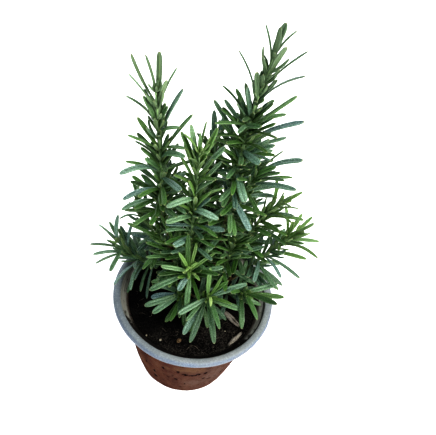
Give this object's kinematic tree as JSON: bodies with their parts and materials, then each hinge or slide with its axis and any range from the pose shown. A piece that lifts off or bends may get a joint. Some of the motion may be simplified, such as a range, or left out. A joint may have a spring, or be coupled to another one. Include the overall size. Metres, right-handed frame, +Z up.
{
  "type": "potted rosemary plant",
  "caption": "Young rosemary plant with upright woody stems and needle leaves, in a round tapered clay pot with a rolled grey-glazed lip, filled with dark potting soil.",
  "frame": {"origin": "middle of the pot's foot, at the ground", "axes": "+Z up along the pot's axis, +X to the right and +Y to the back of the plant's best side"},
  "size_m": [0.1713, 0.1438, 0.341],
  "materials": {
    "clay": "unglazed mottled terracotta body, lip in pale blue-grey matte glaze",
    "soil": "damp dark peat potting mix with fine fibres",
    "bark": "rough grey-brown bark",
    "leaf": "satin grey-green leaf, paler underneath",
    "perlite": "matte white grains",
    "dead_wood": "weathered grey-beige splinter"
  },
  "bodies": {
    "root": {"pot": "clay", "soil": "soil", "stem_left": "bark", "stem_centre": "bark", "stem_right": "bark", "stem_back": "bark", "stem_far_left": "bark", "stem_far_right": "bark", "leader_left": "leaf", "leader_right": "leaf", "leader_centre": "leaf", "leader_back": "leaf", "shoot_low_left": "leaf", "shoot_left_back": "leaf", "shoot_front": "leaf", "shoot_low_front": "leaf", "shoot_low_right_front": "leaf", "shoot_low_left_front": "leaf", "shoot_right": "leaf", "shoot_low_right": "leaf", "shoot_high_right": "leaf", "shoot_back_left": "leaf", "shoot_back_right": "leaf", "shoot_back_low": "leaf", "shoot_inner_left": "leaf", "shoot_inner_right": "leaf", "shoot_left": "leaf", "perlite_left": "perlite", "perlite_front": "perlite", "perlite_edge": "perlite", "perlite_right": "perlite", "bark_crumb": "bark", "wood_chip_upper": "dead_wood", "wood_chip_lower": "dead_wood"}
  },
  "joints": []
}
